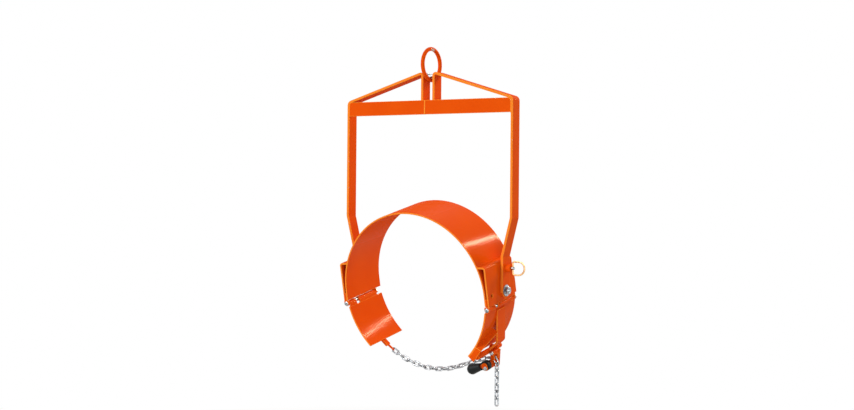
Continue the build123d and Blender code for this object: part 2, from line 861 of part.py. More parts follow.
def add_link(plane):
    """One welded link: round wire round a long loop."""
    with BuildLine(plane) as loop:
        Line((-link_side, -link_end_r), (link_side, -link_end_r))
        ThreePointArc((link_side, -link_end_r), (link_reach, 0), (link_side, link_end_r))
        Line((link_side, link_end_r), (-link_side, link_end_r))
        ThreePointArc((-link_side, link_end_r), (-link_reach, 0), (-link_side, -link_end_r))
    start = plane.from_local_coords((0, -link_end_r, 0))
    with BuildSketch(Plane(origin=start, z_dir=plane.x_dir)) as wire:
        Circle(wire_d / 2)
    sweep(wire.sketch, path=loop.wires()[0])


# The link on edge stands beside the eccentric; the flat link's wire runs through its top end.
edge_x, edge_z = polar(cam_chain_r, hang_deg)
edge_mid = (cam_x + edge_x, cam_z + edge_z)
edge_up = polar(1, hang_deg + 90)
edge_low = (edge_mid[0] - link_reach * edge_up[0], edge_mid[1] - link_reach * edge_up[1])
edge_top = (edge_mid[0] + link_reach * edge_up[0], edge_mid[1] + link_reach * edge_up[1])
flat_reach = link_side + bend_play
flat_low = (edge_mid[0] + flat_reach * edge_up[0], edge_mid[1] + flat_reach * edge_up[1])
flat_s = place_at(flat_low, 0, 2 * link_reach)

with BuildPart() as chain_catch:
    add_link(link_plane(edge_low, edge_top, 0, 1))
    add_link(link_plane(flat_low, chain_point(flat_s), 1, 0))
save(chain_catch.part, "chain_catch")

# The run's links fill the way to the anchor eye below the left wing.
run_s = [flat_s + wire_d + open_play + link_reach - pitch / 2]
eye_at = math.radians(left_low_deg + eye_beyond_deg - 180)
run_links = round((straight + (leave_at - eye_at) * chain_r - run_s[0]) / pitch) - 1
for _ in range(run_links + 1):
    run_s.append(place_at(chain_point(run_s[-1]), run_s[-1], pitch))
run_joints = [chain_point(s) for s in run_s]

with BuildPart() as chain_run:
    for i in range(run_links):
        add_link(link_plane(run_joints[i], run_joints[i + 1], 1, 1 - 2 * (i % 2)))
save(chain_run.part, "chain_run")

eye_deg = math.degrees(math.atan2(run_joints[-1][1], run_joints[-1][0]))

with BuildPart() as anchor_eye:
    with BuildSketch(section(chain_y + eye_pad_half)):
        sector(wing_out_r, wing_out_r + eye_pad_t, eye_deg, side_deg(-1, left_low_deg - eye_pad_deg))
    extrude(amount=2 * eye_pad_half)
    add_link(link_plane(run_joints[-2], run_joints[-1], 1, 1 - 2 * (run_links % 2)))
save(anchor_eye.part, "anchor_eye")

hang_x = edge_mid[0] - link_side * edge_up[0]
hang_z = edge_mid[1] - link_side * edge_up[1] - link_end_r
tail_hinge = saddle_point(hang_x, chain_y, hang_z)
tail_drop = link_reach - wire_d - link_play

with BuildPart() as chain_tail:
    for i in range(tail_links):
        add_link(
            Plane(
                origin=tail_hinge - Vector(0, 0, tail_drop + i * pitch),
                x_dir=(0, 0, -1),
                z_dir=(*polar(1, 90 * (i % 2) - tail_turn_deg), 0),
            )
        )
save(chain_tail.part, "chain_tail")
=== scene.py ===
import json
import math

import bmesh
import bpy
import numpy as np
from mathutils import Matrix, Vector


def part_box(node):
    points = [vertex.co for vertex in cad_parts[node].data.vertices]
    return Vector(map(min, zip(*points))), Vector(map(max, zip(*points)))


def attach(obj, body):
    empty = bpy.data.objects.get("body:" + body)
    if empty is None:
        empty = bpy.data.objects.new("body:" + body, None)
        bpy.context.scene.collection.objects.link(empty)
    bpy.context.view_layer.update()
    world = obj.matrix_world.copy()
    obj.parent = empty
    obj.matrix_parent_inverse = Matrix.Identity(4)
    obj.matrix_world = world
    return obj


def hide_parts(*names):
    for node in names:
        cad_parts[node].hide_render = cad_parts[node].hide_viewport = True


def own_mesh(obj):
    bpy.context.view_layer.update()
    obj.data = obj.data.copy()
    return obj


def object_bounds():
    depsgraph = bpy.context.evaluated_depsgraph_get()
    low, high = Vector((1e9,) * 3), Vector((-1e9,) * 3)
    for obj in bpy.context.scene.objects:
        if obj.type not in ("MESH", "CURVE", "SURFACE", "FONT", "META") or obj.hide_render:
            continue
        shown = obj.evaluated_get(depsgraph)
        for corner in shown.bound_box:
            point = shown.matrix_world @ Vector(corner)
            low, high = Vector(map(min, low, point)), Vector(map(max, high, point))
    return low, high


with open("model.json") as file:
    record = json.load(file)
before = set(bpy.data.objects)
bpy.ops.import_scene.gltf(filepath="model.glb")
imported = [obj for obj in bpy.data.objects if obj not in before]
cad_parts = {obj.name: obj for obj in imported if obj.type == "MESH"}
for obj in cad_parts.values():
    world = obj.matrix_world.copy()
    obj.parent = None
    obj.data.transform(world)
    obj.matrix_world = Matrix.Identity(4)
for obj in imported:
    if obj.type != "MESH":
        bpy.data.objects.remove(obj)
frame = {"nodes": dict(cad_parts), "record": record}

bl_info = {
    "name": "Drum handler",
    "version": (1, 0, 0),
    "blender": (4, 5, 0),
    "location": "3D View > Sidebar > Handler",
    "description": "Looks of a crane-hung drum handler around its packed frame",
    "category": "Object",
}

CAD_BOX = [list(corner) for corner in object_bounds()]
NODES = frame["nodes"]
BODIES = frame["record"]["behaviour"]["bodies"]
BODY_OF = {node: body for body, members in BODIES.items() for node in members}
SLOT_OF = {part["node"]: part["material_slot"] for part in frame["record"]["subparts"]}

MM = 0.001
FULL_TURN = 2 * math.pi
SIDES = (-1, 1)

# Directions of the part's frame, and the saddle's tilted frame: its pivot and its directions along and up
ACROSS, DEEP, UP = np.eye(3)
PIVOT = np.array([0.0, 0.0, -830.7])
TILT = math.radians(12.7)
ALONG = np.array([0.0, math.cos(TILT), math.sin(TILT)])
ABOVE = np.array([0.0, -math.sin(TILT), math.cos(TILT)])

# Places that several pieces share, in millimetres; pairs are across and up from the pivot
STUD_HEIGHT = -88.7
SEAT_OUTSIDE = 291.5
HINGE = (293.5, -44.0)
CLAW_BOLT = (245.74, -219.02)
LEVER_PIN = (233.07, -265.72)

# Nuts by thread: width across flats, height and bore in millimetres
NUT_16 = (24.0, 10.0, 16.1)
NUT_14 = (22.0, 8.0, 14.1)
NUT_10 = (16.0, 8.0, 10.1)
NUT_8 = (13.0, 8.0, 8.1)

# Finish of each of the record's material slots, and of the ring that is rubbed bare
FINISH_OF = {
    "orange_paint": "orange_enamel",
    "rubbed_paint": "orange_enamel_rubbed",
    "zinc_plated_steel": "bright_zinc_plate",
    "yellow_zinc": "yellow_zinc_plate",
    "bronze": "sintered_bronze",
    "black_rubber": "moulded_black_rubber",
}

# Widths of the patterns that a user has no need to change
PAINT_CLOUD = 120 * MM
PAINT_SMUDGE = 40 * MM
RUB_STREAK = 6 * MM
PLATE_PIT = 1.1 * MM
RUBBER_PATCH = 30 * MM

# Share of the paler colour, a painted highlight, that shows on the rounded edges
EDGE_HIGHLIGHT = 0.95

# Distances from the eye's crown at which the ring's paint is gone and whole
BARE_UP_TO = 4 * MM
PAINTED_FROM = 22 * MM

# Radius of the rounded edges on each plate and bar, in millimetres
ROUNDED_PLATES = {
    "left_strap": 1.2,
    "right_strap": 1.2,
    "crossbar": 1.2,
    "saddle_band": 0.9,
    "left_bracket": 1.0,
    "right_bracket": 1.0,
    "left_wing_plate": 0.9,
    "right_wing_plate": 0.9,
    "right_arm": 1.0,
    "right_rib": 0.9,
    "frame_plate": 0.9,
    "chain_claw": 0.8,
    "left_hinge_lugs": 0.8,
    "right_hinge_lugs": 0.8,
    "left_bracket_bar": 0.8,
    "right_bracket_bar": 0.8,
    "left_knuckle_front": 0.6,
    "left_knuckle_rear": 0.6,
    "right_knuckle_front": 0.6,
    "right_knuckle_rear": 0.6,
    "cross_tube": 0.6,
    "tightener_cam": 0.9,
    "anchor_eye": 0.8,
    "pivot_washers": 0.5,
    "left_pivot_bush": 0.3,
    "right_pivot_bush": 0.3,
}

# Plates whose sheared front edges are seen and lit from the front, painted paler by this share as a painted
# highlight
FRONT_RIMS = (
    "left_strap", "right_strap", "saddle_band", "left_bracket", "right_bracket", "left_wing_plate",
    "right_wing_plate", "right_arm",
)
RIM_HIGHLIGHT = 0.7
RIM_FACING = 0.95

# Mesh limits: angles of flat joints, rounded edges and sharp shading; distances of merged points in metres
FLAT_ANGLE = math.radians(0.6)
ROUNDED_ANGLE = math.radians(50)
SHARP_ANGLE = math.radians(38)
ROUND_SEGMENTS = 3
COPY_MERGE = 1e-6
FINE_MERGE = 1e-7

# Points round a turned piece and a bead, per ripple and per thread turn, and fewest along a path
COLUMNS = 72
BEAD_COLUMNS = 12
RIPPLE_STEPS = 5
THREAD_STEPS = 8
FEWEST_POINTS = 8

# Radius in millimetres at which a turned piece ends in a small flat face
POLE = 0.05

# Floor: drop below the object, radius, rows and columns, and where it fades into the white, in metres
FLOOR_DROP = 0.35
FLOOR_RADIUS = 40.0
FLOOR_GRID = (60, 64)
FADE_FROM = 1.4
FADE_TO = 3.2

# Strength of the white surroundings where they only light the object
FLOOR_LIT = 0.2
WORLD_LIT = 0.42

# Lamps: place from the object's middle, width and length in metres, and power in watts
LAMPS = {
    "key": ((-1.2, -3.6, 1.6), 1.6, 1.6, 98.0),
    "fill": ((3.0, -2.4, -0.4), 1.8, 1.8, 38.0),
    "strip": ((1.39, 2.34, 2.15), 0.08, 1.6, 82.0),
}

# Camera: sensor width and lens in millimetres, place in metres, viewing direction, and roll in radians
SENSOR = 36.0
LENS = 69.28
CAMERA_PLACE = (3.1936, -4.8183, -0.5418)
CAMERA_LOOK = (-0.5541, 0.8325, 0.0)
CAMERA_ROLL = 0.0087


def linear(hex_colour):
    """sRGB hex value as linear red, green, blue and alpha."""
    srgb = np.array([int(hex_colour[i:i + 2], 16) for i in (1, 3, 5)]) / 255
    low = srgb / 12.92
    high = ((srgb + 0.055) / 1.055) ** 2.4
    return (*np.where(srgb <= 0.04045, low, high).tolist(), 1.0)


def size(name, description, millimetres):
    """Length property in metres with its default in millimetres."""
    return bpy.props.FloatProperty(
        name=name, description=description, default=millimetres * MM, min=0.0, unit="LENGTH", precision=5
    )


def colour(name, description, hex_colour):
    """Colour property whose default is an sRGB hex value."""
    return bpy.props.FloatVectorProperty(
        name=name, description=description, default=linear(hex_colour), size=4, min=0.0, max=1.0,
        subtype="COLOR",
    )


class HandlerSizes(bpy.types.PropertyGroup):
    """Sizes of the details that finish the frame."""

    weld_radius: size("Weld radius", "Radius of a fillet weld's bead", 2.6)
    weld_ripple: size("Weld ripple", "Distance between two ripples of a weld bead", 2.4)
    thread_pitch: size("Thread pitch", "Distance between two turns of a thread", 2.0)
    thread_depth: size("Thread depth", "Depth of a thread", 0.9)
    peel: size("Orange peel", "Width of the waves in the dried paint", 3.0)
    chip: size("Paint chip", "Width of a chip on an edge", 5.0)
    spangle: size("Zinc spangle", "Width of a cloud in the zinc plate", 9.0)
    pore: size("Rubber grain", "Width of the moulded grain in the rubber", 1.2)


class HandlerColours(bpy.types.PropertyGroup):
    """Colours of the handler's finishes."""

    paint: colour("Paint", "Orange enamel", "#EA590C")
    paint_deep: colour("Paint, thick", "Orange enamel where it lies thick", "#E24C0A")
    # Painted highlight: the paler colour laid on rounded edges, on front rims lit from the front and on the
    # crossbar's seam
    paint_highlight: colour("Paint, edges", "Orange enamel drawn thin over an edge", "#FF9C34")
    paint_sheen: colour("Paint, sheen", "Tint of the light that the orange enamel mirrors", "#FF9A3C")
    steel: colour("Bare steel", "Steel where the paint is rubbed off", "#B9ADA3")
    zinc: colour("Zinc", "Bright zinc plate", "#C4C8CC")
    zinc_dull: colour("Zinc, dull", "Zinc plate that has dulled", "#50555A")
    yellow: colour("Yellow zinc", "Yellow passivated zinc plate", "#DDA45A")
    yellow_pale: colour("Yellow zinc, pale", "Yellow passivated zinc plate, rubbed", "#F0CE9A")
    bronze: colour("Bronze", "Sintered bronze of the bushes", "#9B6F3C")
    bronze_pale: colour("Bronze, rubbed", "Sintered bronze where it is rubbed", "#B98A50")
    rubber: colour("Rubber", "Black moulded rubber", "#0D1213")
    strip: colour("Strip lamp", "Warm light of the strip lamp", "#FFEACA")
    floor: colour("Floor", "Pale studio floor", "#F2F2F2")


def add(tree, kind, inputs=None, **settings):
    """Adds a node, sets its settings and inputs, and links the inputs that are sockets."""
    node = tree.nodes.new("ShaderNode" + kind)
    for key, value in settings.items():
        setattr(node, key, value)
    for key, value in (inputs or {}).items():
        if isinstance(value, bpy.types.NodeSocket):
            tree.links.new(value, node.inputs[key])
        else:
            node.inputs[key].default_value = value
    return node


def new_material(name):
    """Empty material with its shader and its Object coordinates."""
    material = bpy.data.materials.new(name)
    material.use_nodes = True
    tree = material.node_tree
    tree.nodes.clear()
    shader = add(tree, "BsdfPrincipled")
    add(tree, "OutputMaterial", {"Surface": shader.outputs["BSDF"]})
    return material, tree, shader, add(tree, "TexCoord").outputs["Object"]


def paint_material(name, sizes, colours, worn):
    """Alkyd enamel sprayed on steel: glossy orange with a faint orange peel, painted paler over edges and
    lit front rims as a painted highlight, chipped to the steel at corners and, where it is worn, rubbed
    bare round the crown of the eye."""
    material, tree, shader, place = new_material(name)
    cloud = add(tree, "TexNoise", {"Vector": place, "Scale": 1 / PAINT_CLOUD, "Detail": 3.0})
    base = add(
        tree, "Mix", {"Factor": cloud.outputs["Fac"], "A": colours.paint, "B": colours.paint_deep},
        data_type="RGBA",
    )
    # The edge attribute paints edges, lit front rims and the crossbar's seam paler, a painted highlight;
    # where it is full the paint also chips to the steel
    edge = add(tree, "Attribute", attribute_name="edge").outputs["Fac"]
    thin = add(tree, "Math", {0: edge, 1: EDGE_HIGHLIGHT}, operation="MULTIPLY")
    paler = add(
        tree, "Mix", {"Factor": thin.outputs[0], "A": base.outputs["Result"], "B": colours.paint_highlight},
        data_type="RGBA",
    )
    chips = add(tree, "TexNoise", {"Vector": place, "Scale": 1 / sizes.chip, "Detail": 4.0})
    bare = add(tree, "MapRange", {"Value": chips.outputs["Fac"], "From Min": 0.66, "From Max": 0.70})
    sharp = add(tree, "MapRange", {"Value": edge, "From Min": 0.7, "From Max": 1.0})
    chipped = add(tree, "Math", {0: bare.outputs[0], 1: sharp.outputs[0]}, operation="MULTIPLY")
    rubbed = chipped.outputs[0]
    if worn:
        crown = add(tree, "VectorMath", {0: place}, operation="LENGTH").outputs["Value"]
        near = add(tree, "MapRange", {"Value": crown, "From Min": PAINTED_FROM, "From Max": BARE_UP_TO})
        streaks = add(tree, "TexNoise", {"Vector": place, "Scale": 1 / RUB_STREAK, "Detail": 5.0})
        sum_up = add(tree, "Math", {0: near.outputs[0], 1: streaks.outputs["Fac"]}, operation="ADD")
        worn_off = add(tree, "MapRange", {"Value": sum_up.outputs[0], "From Min": 1.0, "From Max": 1.12})
        rubbed = add(tree, "Math", {0: rubbed, 1: worn_off.outputs[0]}, operation="MAXIMUM").outputs[0]
    skin = add(
        tree, "Mix", {"Factor": rubbed, "A": paler.outputs["Result"], "B": colours.steel}, data_type="RGBA"
    )
    peel = add(tree, "TexNoise", {"Vector": place, "Scale": 1 / sizes.peel, "Detail": 1.0})
    bump = add(tree, "Bump", {"Height": peel.outputs["Fac"], "Strength": 0.12, "Distance": 0.3 * MM})
    smudge = add(tree, "TexNoise", {"Vector": place, "Scale": 1 / PAINT_SMUDGE, "Detail": 4.0})
    gloss = add(tree, "MapRange", {"Value": smudge.outputs["Fac"], "To Min": 0.06, "To Max": 0.11})
    # At a low angle the paint mirrors less sharply, so that its orange stays deep
    facing = add(tree, "LayerWeight", {"Blend": 0.5}).outputs["Facing"]
    graze = add(
        tree, "MapRange", {"Value": facing, "From Min": 0.52, "From Max": 0.82, "To Max": 0.55},
        interpolation_type="SMOOTHSTEP",
    )
    rough = add(tree, "Math", {0: gloss.outputs[0], 1: graze.outputs[0]}, operation="ADD")
    tree.links.new(skin.outputs["Result"], shader.inputs["Base Color"])
    tree.links.new(rough.outputs[0], shader.inputs["Roughness"])
    tree.links.new(rubbed, shader.inputs["Metallic"])
    tree.links.new(bump.outputs[0], shader.inputs["Normal"])
    shader.inputs["IOR"].default_value = 1.5
    shader.inputs["Specular IOR Level"].default_value = 0.02
    shader.inputs["Specular Tint"].default_value = colours.paint_sheen
    return material


def plated_material(name, grain, bright, dull, roughness):
    """Electroplated or sintered metal: bright, with soft clouds where it has dulled. Its pits are too fine
    to show, and are drawn about ten times as coarse."""
    material, tree, shader, place = new_material(name)
    cloud = add(tree, "TexNoise", {"Vector": place, "Scale": 1 / grain, "Detail": 5.0, "Roughness": 0.6})
    mask = add(tree, "MapRange", {"Value": cloud.outputs["Fac"], "From Min": 0.4, "From Max": 0.68})
    skin = add(tree, "Mix", {"Factor": mask.outputs[0], "A": bright, "B": dull}, data_type="RGBA")
    smoothest, roughest = roughness - 0.08, roughness + 0.14
    rough = add(tree, "MapRange", {"Value": cloud.outputs["Fac"], "To Min": smoothest, "To Max": roughest})
    pits = add(tree, "TexNoise", {"Vector": place, "Scale": 1 / PLATE_PIT, "Detail": 2.0})
    bump = add(tree, "Bump", {"Height": pits.outputs["Fac"], "Strength": 0.15, "Distance": 0.1 * MM})
    tree.links.new(skin.outputs["Result"], shader.inputs["Base Color"])
    tree.links.new(rough.outputs[0], shader.inputs["Roughness"])
    tree.links.new(bump.outputs[0], shader.inputs["Normal"])
    shader.inputs["Metallic"].default_value = 1.0
    return material


def rubber_material(name, sizes, colours):
    """Moulded black rubber: satin, with the mould's grain and greyer rubbed patches. The real grain of
    about 0.3 mm is too fine to show, and is drawn four times as coarse."""
    material, tree, shader, place = new_material(name)
    grain = add(tree, "TexNoise", {"Vector": place, "Scale": 1 / sizes.pore, "Detail": 3.0})
    bump = add(tree, "Bump", {"Height": grain.outputs["Fac"], "Strength": 0.35, "Distance": 0.2 * MM})
    patch = add(tree, "TexNoise", {"Vector": place, "Scale": 1 / RUBBER_PATCH, "Detail": 4.0})
    rough = add(tree, "MapRange", {"Value": patch.outputs["Fac"], "To Min": 0.38, "To Max": 0.62})
    lighter = 2.2
    grey = tuple(lighter * c for c in colours.rubber[:3]) + (1.0,)
    mask = add(tree, "MapRange", {"Value": patch.outputs["Fac"], "From Min": 0.5, "From Max": 0.9})
    skin = add(tree, "Mix", {"Factor": mask.outputs[0], "A": colours.rubber, "B": grey}, data_type="RGBA")
    tree.links.new(skin.outputs["Result"], shader.inputs["Base Color"])
    tree.links.new(rough.outputs[0], shader.inputs["Roughness"])
    tree.links.new(bump.outputs[0], shader.inputs["Normal"])
    shader.inputs["IOR"].default_value = 1.52
    shader.inputs["Specular IOR Level"].default_value = 0.2
    return material


def finishes():
    """The handler's materials by slot, made once."""
    scene = bpy.context.scene
    sizes, colours = scene.handler_sizes, scene.handler_colours
    if "orange_enamel" not in bpy.data.materials:
        paint_material("orange_enamel", sizes, colours, False)
        paint_material("orange_enamel_rubbed", sizes, colours, True)
        plated_material("bright_zinc_plate", sizes.spangle, colours.zinc, colours.zinc_dull, 0.24)
        plated_material("yellow_zinc_plate", sizes.spangle, colours.yellow_pale, colours.yellow, 0.3)
        plated_material("sintered_bronze", sizes.spangle, colours.bronze, colours.bronze_pale, 0.4)
        rubber_material("moulded_black_rubber", sizes, colours)
    return {slot: bpy.data.materials[name] for slot, name in FINISH_OF.items()}


def finish_piece(piece, node, slot=None):
    """Gives a new piece the finish of its slot and lets it ride on its node's body."""
    piece.data.materials.clear()
    piece.data.materials.append(finishes()[slot or SLOT_OF[node]])
    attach(piece, BODY_OF[node])


def shown(name, mesh):
    """Object in the scene that shows a mesh, smooth but for its sharp edges."""
    mesh.shade_smooth()
    mesh.set_sharp_from_angle(angle=SHARP_ANGLE)
    piece = bpy.data.objects.new(name, mesh)
    bpy.context.scene.collection.objects.link(piece)
    return piece


def rounded_plate(node, radius):
    """Copy of a plate whose outer edges are rolled over a quarter circle of the given radius. The new faces
    carry the edge attribute, which paints them paler as a painted highlight and lets them chip, and sheared
    front faces that look forward carry part of it as a painted highlight of the light from the front."""
    mesh = bpy.data.meshes.new(node + "_rounded")
    shape = bmesh.new()
    shape.from_mesh(NODES[node].data)
    bmesh.ops.remove_doubles(shape, verts=shape.verts, dist=COPY_MERGE)
    bmesh.ops.dissolve_limit(shape, angle_limit=FLAT_ANGLE, verts=shape.verts, edges=shape.edges)
    outer = [e for e in shape.edges if e.is_convex and e.calc_face_angle(0.0) > ROUNDED_ANGLE]
    edge = shape.faces.layers.float.new("edge")
    rounded = bmesh.ops.bevel(
        shape, geom=outer, offset=radius * MM, offset_type="OFFSET", segments=ROUND_SEGMENTS, profile=0.5,
        affect="EDGES", clamp_overlap=False, material=1,
    )
    for face in rounded["faces"]:
        face[edge] = float(face.material_index)
        face.material_index = 0
    # Faces that look forward, lit from the front, are painted paler: a painted highlight
    if node in FRONT_RIMS:
        forward = -Vector(DEEP if BODY_OF[node] == "yoke" else ALONG)
        for face in shape.faces:
            if face.normal.dot(forward) > RIM_FACING:
                face[edge] = RIM_HIGHLIGHT
    bmesh.ops.dissolve_degenerate(shape, dist=FINE_MERGE, edges=shape.edges)
    bmesh.ops.triangulate(shape, faces=[f for f in shape.faces if len(f.verts) > 4])
    shape.to_mesh(mesh)
    shape.free()
    piece = shown(node + "_rounded", mesh)
    weighted = piece.modifiers.new("flat faces stay flat", "WEIGHTED_NORMAL")
    weighted.keep_sharp = True
    finish_piece(piece, node)
    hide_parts(node)


def grid_faces(rows, columns, round_rows):
    """Quads between neighbours of a grid whose columns close on themselves, and its rows too if asked."""
    here = np.arange(rows * columns).reshape(rows, columns)
    beside = np.roll(here, -1, axis=1)
    below = np.roll(here, -1, axis=0)
    across = np.roll(beside, -1, axis=0)
    quads = np.stack([here, beside, across, below], axis=-1)
    return (quads if round_rows else quads[:-1]).reshape(-1, 4)


def new_piece(name, grids, closed=True, round_rows=False):
    """Mesh object from point grids (rows, columns, xyz) in metres; open rows get end faces when closed."""
    points, faces, start = [], [], 0
    for grid in grids:
        rows, columns = grid.shape[:2]
        faces += (grid_faces(rows, columns, round_rows) + start).tolist()
        if closed and not round_rows:
            faces.append((np.arange(columns) + start).tolist())
            faces.append((np.arange(columns) + start + (rows - 1) * columns).tolist())
        points.append(grid.reshape(-1, 3))
        start += rows * columns
    mesh = bpy.data.meshes.new(name)
    mesh.from_pydata(np.concatenate(points).tolist(), [], faces)
    shape = bmesh.new()
    shape.from_mesh(mesh)
    bmesh.ops.remove_doubles(shape, verts=shape.verts, dist=FINE_MERGE)
    bmesh.ops.recalc_face_normals(shape, faces=shape.faces)
    shape.to_mesh(mesh)
    shape.free()
    return shown(name, mesh)


def stand_in(name, node, grids, slot=None, round_rows=False):
    """New piece with its node's finish that stands where the node is."""
    piece = new_piece(name, grids, round_rows=round_rows)
    finish_piece(piece, node, slot)
    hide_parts(node)
    return piece


def around(columns):
    """Evenly spaced angles once round, without the last, which is the first."""
    return np.linspace(0.0, FULL_TURN, columns, endpoint=False)


def saddle(x, y, z):
    """Points of the saddle's tilted frame in the part's frame, in millimetres."""
    x, y, z = np.broadcast_arrays(np.asarray(x, float), y, z)
    return PIVOT + x[..., None] * ACROSS + y[..., None] * ALONG + z[..., None] * ABOVE


def line(start, stop, step):
    """Evenly spaced points from start to stop."""
    count = max(FEWEST_POINTS, int(np.linalg.norm(np.subtract(stop, start)) / step))
    share = np.linspace(0.0, 1.0, count)[:, None]
    return (1 - share) * np.asarray(start, float) + share * np.asarray(stop, float)


def ring_path(centre, u, v, radius, step):
    """Points once round a circle with the directions u and v, ends meeting."""
    angle = np.linspace(0.0, FULL_TURN, int(FULL_TURN * radius / step))[:, None]
    return centre + radius * (np.cos(angle) * u + np.sin(angle) * v)


def arc(radius, start_deg, stop_deg, y, step):
    """Points on a circle round the seat's axis, between two angles in degrees below the horizontal."""
    length = radius * math.radians(abs(stop_deg - start_deg))
    count = max(FEWEST_POINTS, int(length / step))
    angle = np.radians(np.linspace(start_deg, stop_deg, count))
    return saddle(radius * np.cos(angle), y, -radius * np.sin(angle))


def carried(path, angle, radius):
    """Circle carried square to a path: each point lies at its radius from the path, at its angle between
    two directions square to the path and to each other."""
    way = np.gradient(path, axis=0)
    way /= np.linalg.norm(way, axis=1, keepdims=True)
    spare = np.eye(3)[np.argmin(np.abs(way).sum(axis=0))]
    side = np.cross(way, spare)
    side /= np.linalg.norm(side, axis=1, keepdims=True)
    over = np.cross(side, way)
    turn = np.cos(angle)[..., None] * side[:, None] + np.sin(angle)[..., None] * over[:, None]
    return (path[:, None] + radius[..., None] * turn) * MM


def bead(path, radius, ripple):
    """Weld bead: a circle carried along a path. At the distance s and the angle a its radius is
    R (1 + 0.14 |sin(pi (s / p + 0.3 cos a))|), and it shrinks to a fifth over its last radius."""
    step = np.linalg.norm(np.diff(path, axis=0), axis=1)
    s = np.concatenate([[0.0], np.cumsum(step)])[:, None]
    angle = around(BEAD_COLUMNS)[None, :]
    swell = 1 + 0.14 * np.abs(np.sin(math.pi * (s / ripple + 0.3 * np.cos(angle))))
    ends = np.clip(np.minimum(s, s[-1] - s) / radius, 0.0, 1.0)
    return carried(path, angle, radius * swell * (0.2 + 0.8 * np.sqrt(1 - (1 - ends) ** 2)))


def turned(base, axis, height, radius, columns=COLUMNS):
    """Surface round an axis: rows of height h and radius r, r given per row or per row and angle."""
    axis = np.asarray(axis, float)
    u = np.cross(axis, np.eye(3)[np.argmin(np.abs(axis))])
    u /= np.linalg.norm(u)
    v = np.cross(axis, u)
    angle = around(columns)
    round_it = np.cos(angle)[:, None] * u + np.sin(angle)[:, None] * v
    height = np.asarray(height, float)
    radius = np.broadcast_to(np.asarray(radius, float).reshape(len(height), -1), (len(height), columns))
    return (base + height[:, None, None] * axis + radius[..., None] * round_it) * MM


def hexagon(flats):
    """Radius of a hexagon at each angle: half its flats over the cosine to the nearest flat's middle."""
    half_flat = math.pi / 6
    return flats / 2 / np.cos((around(COLUMNS) + half_flat) % (2 * half_flat) - half_flat)


def hex_rows(flats, height):
    """Heights and radii of a chamfered hexagon: the smaller of the hexagon and a cone of 30 degrees."""
    chamfer, face_radius, slope = 0.064 * flats, 0.475 * flats, math.tan(math.radians(30))
    rise = np.linspace(0.0, chamfer, 6)
    h = np.concatenate([rise, height - rise[::-1]])
    cone = face_radius + np.minimum(h, height - h) / slope
    return h, np.minimum(hexagon(flats)[None, :], cone[:, None])


def nut(base, axis, flats, height, bore):
    """Chamfered hexagon nut with a countersunk bore; its rows run once round the section."""
    h, outer = hex_rows(flats, height)
    sink = 0.06 * flats
    inner = np.broadcast_to(np.array([bore / 2, bore / 2 + sink])[:, None], (2, COLUMNS))
    rows = np.concatenate([[sink, 0.0], h, [height, height - sink]])
    return turned(base, axis, rows, np.concatenate([inner, outer, inner[::-1]]))


def screw(diameter, start, stop, pitch, depth):
    """Heights and radii of a thread: r = d / 2 - t |2 frac(h / p - a / 2 pi) - 1|, chamfered at its end,
    and the radius of the flat end."""
    h = np.arange(start, stop, pitch / THREAD_STEPS)
    share = around(COLUMNS) / FULL_TURN
    wave = np.abs(2 * ((h[:, None] / pitch - share[None, :]) % 1.0) - 1)
    flat_end = diameter / 2 - 1.1 * depth
    chamfer = flat_end + np.clip(stop - h, 0.0, None)
    return h, np.minimum(diameter / 2 - depth * wave, chamfer[:, None]), flat_end


def pin(base, axis, rows, thread, sizes, head=None):
    """Turned pin: a hexagon head (flats, height) if given, plain rows (height, radius), then a thread
    (diameter, start, stop), closed by a flat end."""
    whole_row = np.ones((1, COLUMNS))
    plain_h, plain_r = np.array(rows, float).T
    h, r, flat_end = screw(*thread, sizes.thread_pitch / MM, sizes.thread_depth / MM)
    stop = thread[2]
    heights = [plain_h, h, [stop, stop]]
    radii = [plain_r[:, None] * whole_row, r, flat_end * whole_row, POLE * whole_row]
    if head:
        head_h, head_r = hex_rows(*head)
        heights = [[0.0], head_h] + heights
        radii = [POLE * whole_row, head_r] + radii
    return turned(base, axis, np.concatenate(heights), np.concatenate(radii))


def domed_rows(head_height, head_radius, shank_radius, shank_end):
    """Rows of a rod with a low round head: 0.7 H (1 - cos a) high and R sin a wide at the angle a from its
    crown, then its rim, its underside and the shank."""
    angle = np.radians(np.linspace(4.0, 90.0, 8))
    dome = np.stack([0.7 * head_height * (1 - np.cos(angle)), head_radius * np.sin(angle)], axis=-1)
    shank = [(head_height, head_radius), (head_height, shank_radius), (shank_end, shank_radius)]
    return np.concatenate([dome, shank])


def yoke_welds(radius, ripple):
    """Beads of the yoke: the crossbar's middle seam first, then crossbar to posts and legs, the plugs over
    the stud's ends, and the lock's boss."""
    step = ripple / RIPPLE_STEPS
    slim = 2.2
    low, top = PIVOT[2] + 607.0, PIVOT[2] + 657.0
    front, back = -23.0, -14.0
    post_low, post_top, leg_low, leg_top, leg_front = low + 8, top - 2, low + 1, top - 6, front + 1
    seam, post_faces, leg_face, plug_face = -11.6, (19.25, 28.25), 339.0, 28.0
    plug_heights, plug_radii = [0.0, 0.6, 1.1, 1.5, 1.6], [8.6, 8.4, 7.4, 4.5, POLE]
    boss, boss_radius = np.array([313.5, 0.0, PIVOT[2] + 75.5]), 13.4
    beads = [bead(line((seam, front, low), (seam, front, top), step), slim, ripple)]
    for side in SIDES:
        for face in post_faces:
            x = side * face
            beads.append(bead(line((x, back, post_low), (x, back, post_top), step), radius, ripple))
        leg = side * leg_face
        beads.append(bead(line((leg, back, leg_low), (leg, back, leg_top), step), radius, ripple))
        beads.append(bead(line((leg, leg_front, low), (leg, back, low), step), radius, ripple))
        stud_end = np.array([side * plug_face, 0.0, STUD_HEIGHT])
        beads.append(turned(stud_end, side * ACROSS, plug_heights, plug_radii))
    beads.append(bead(ring_path(boss, DEEP, UP, boss_radius, step), slim, ripple))
    return beads


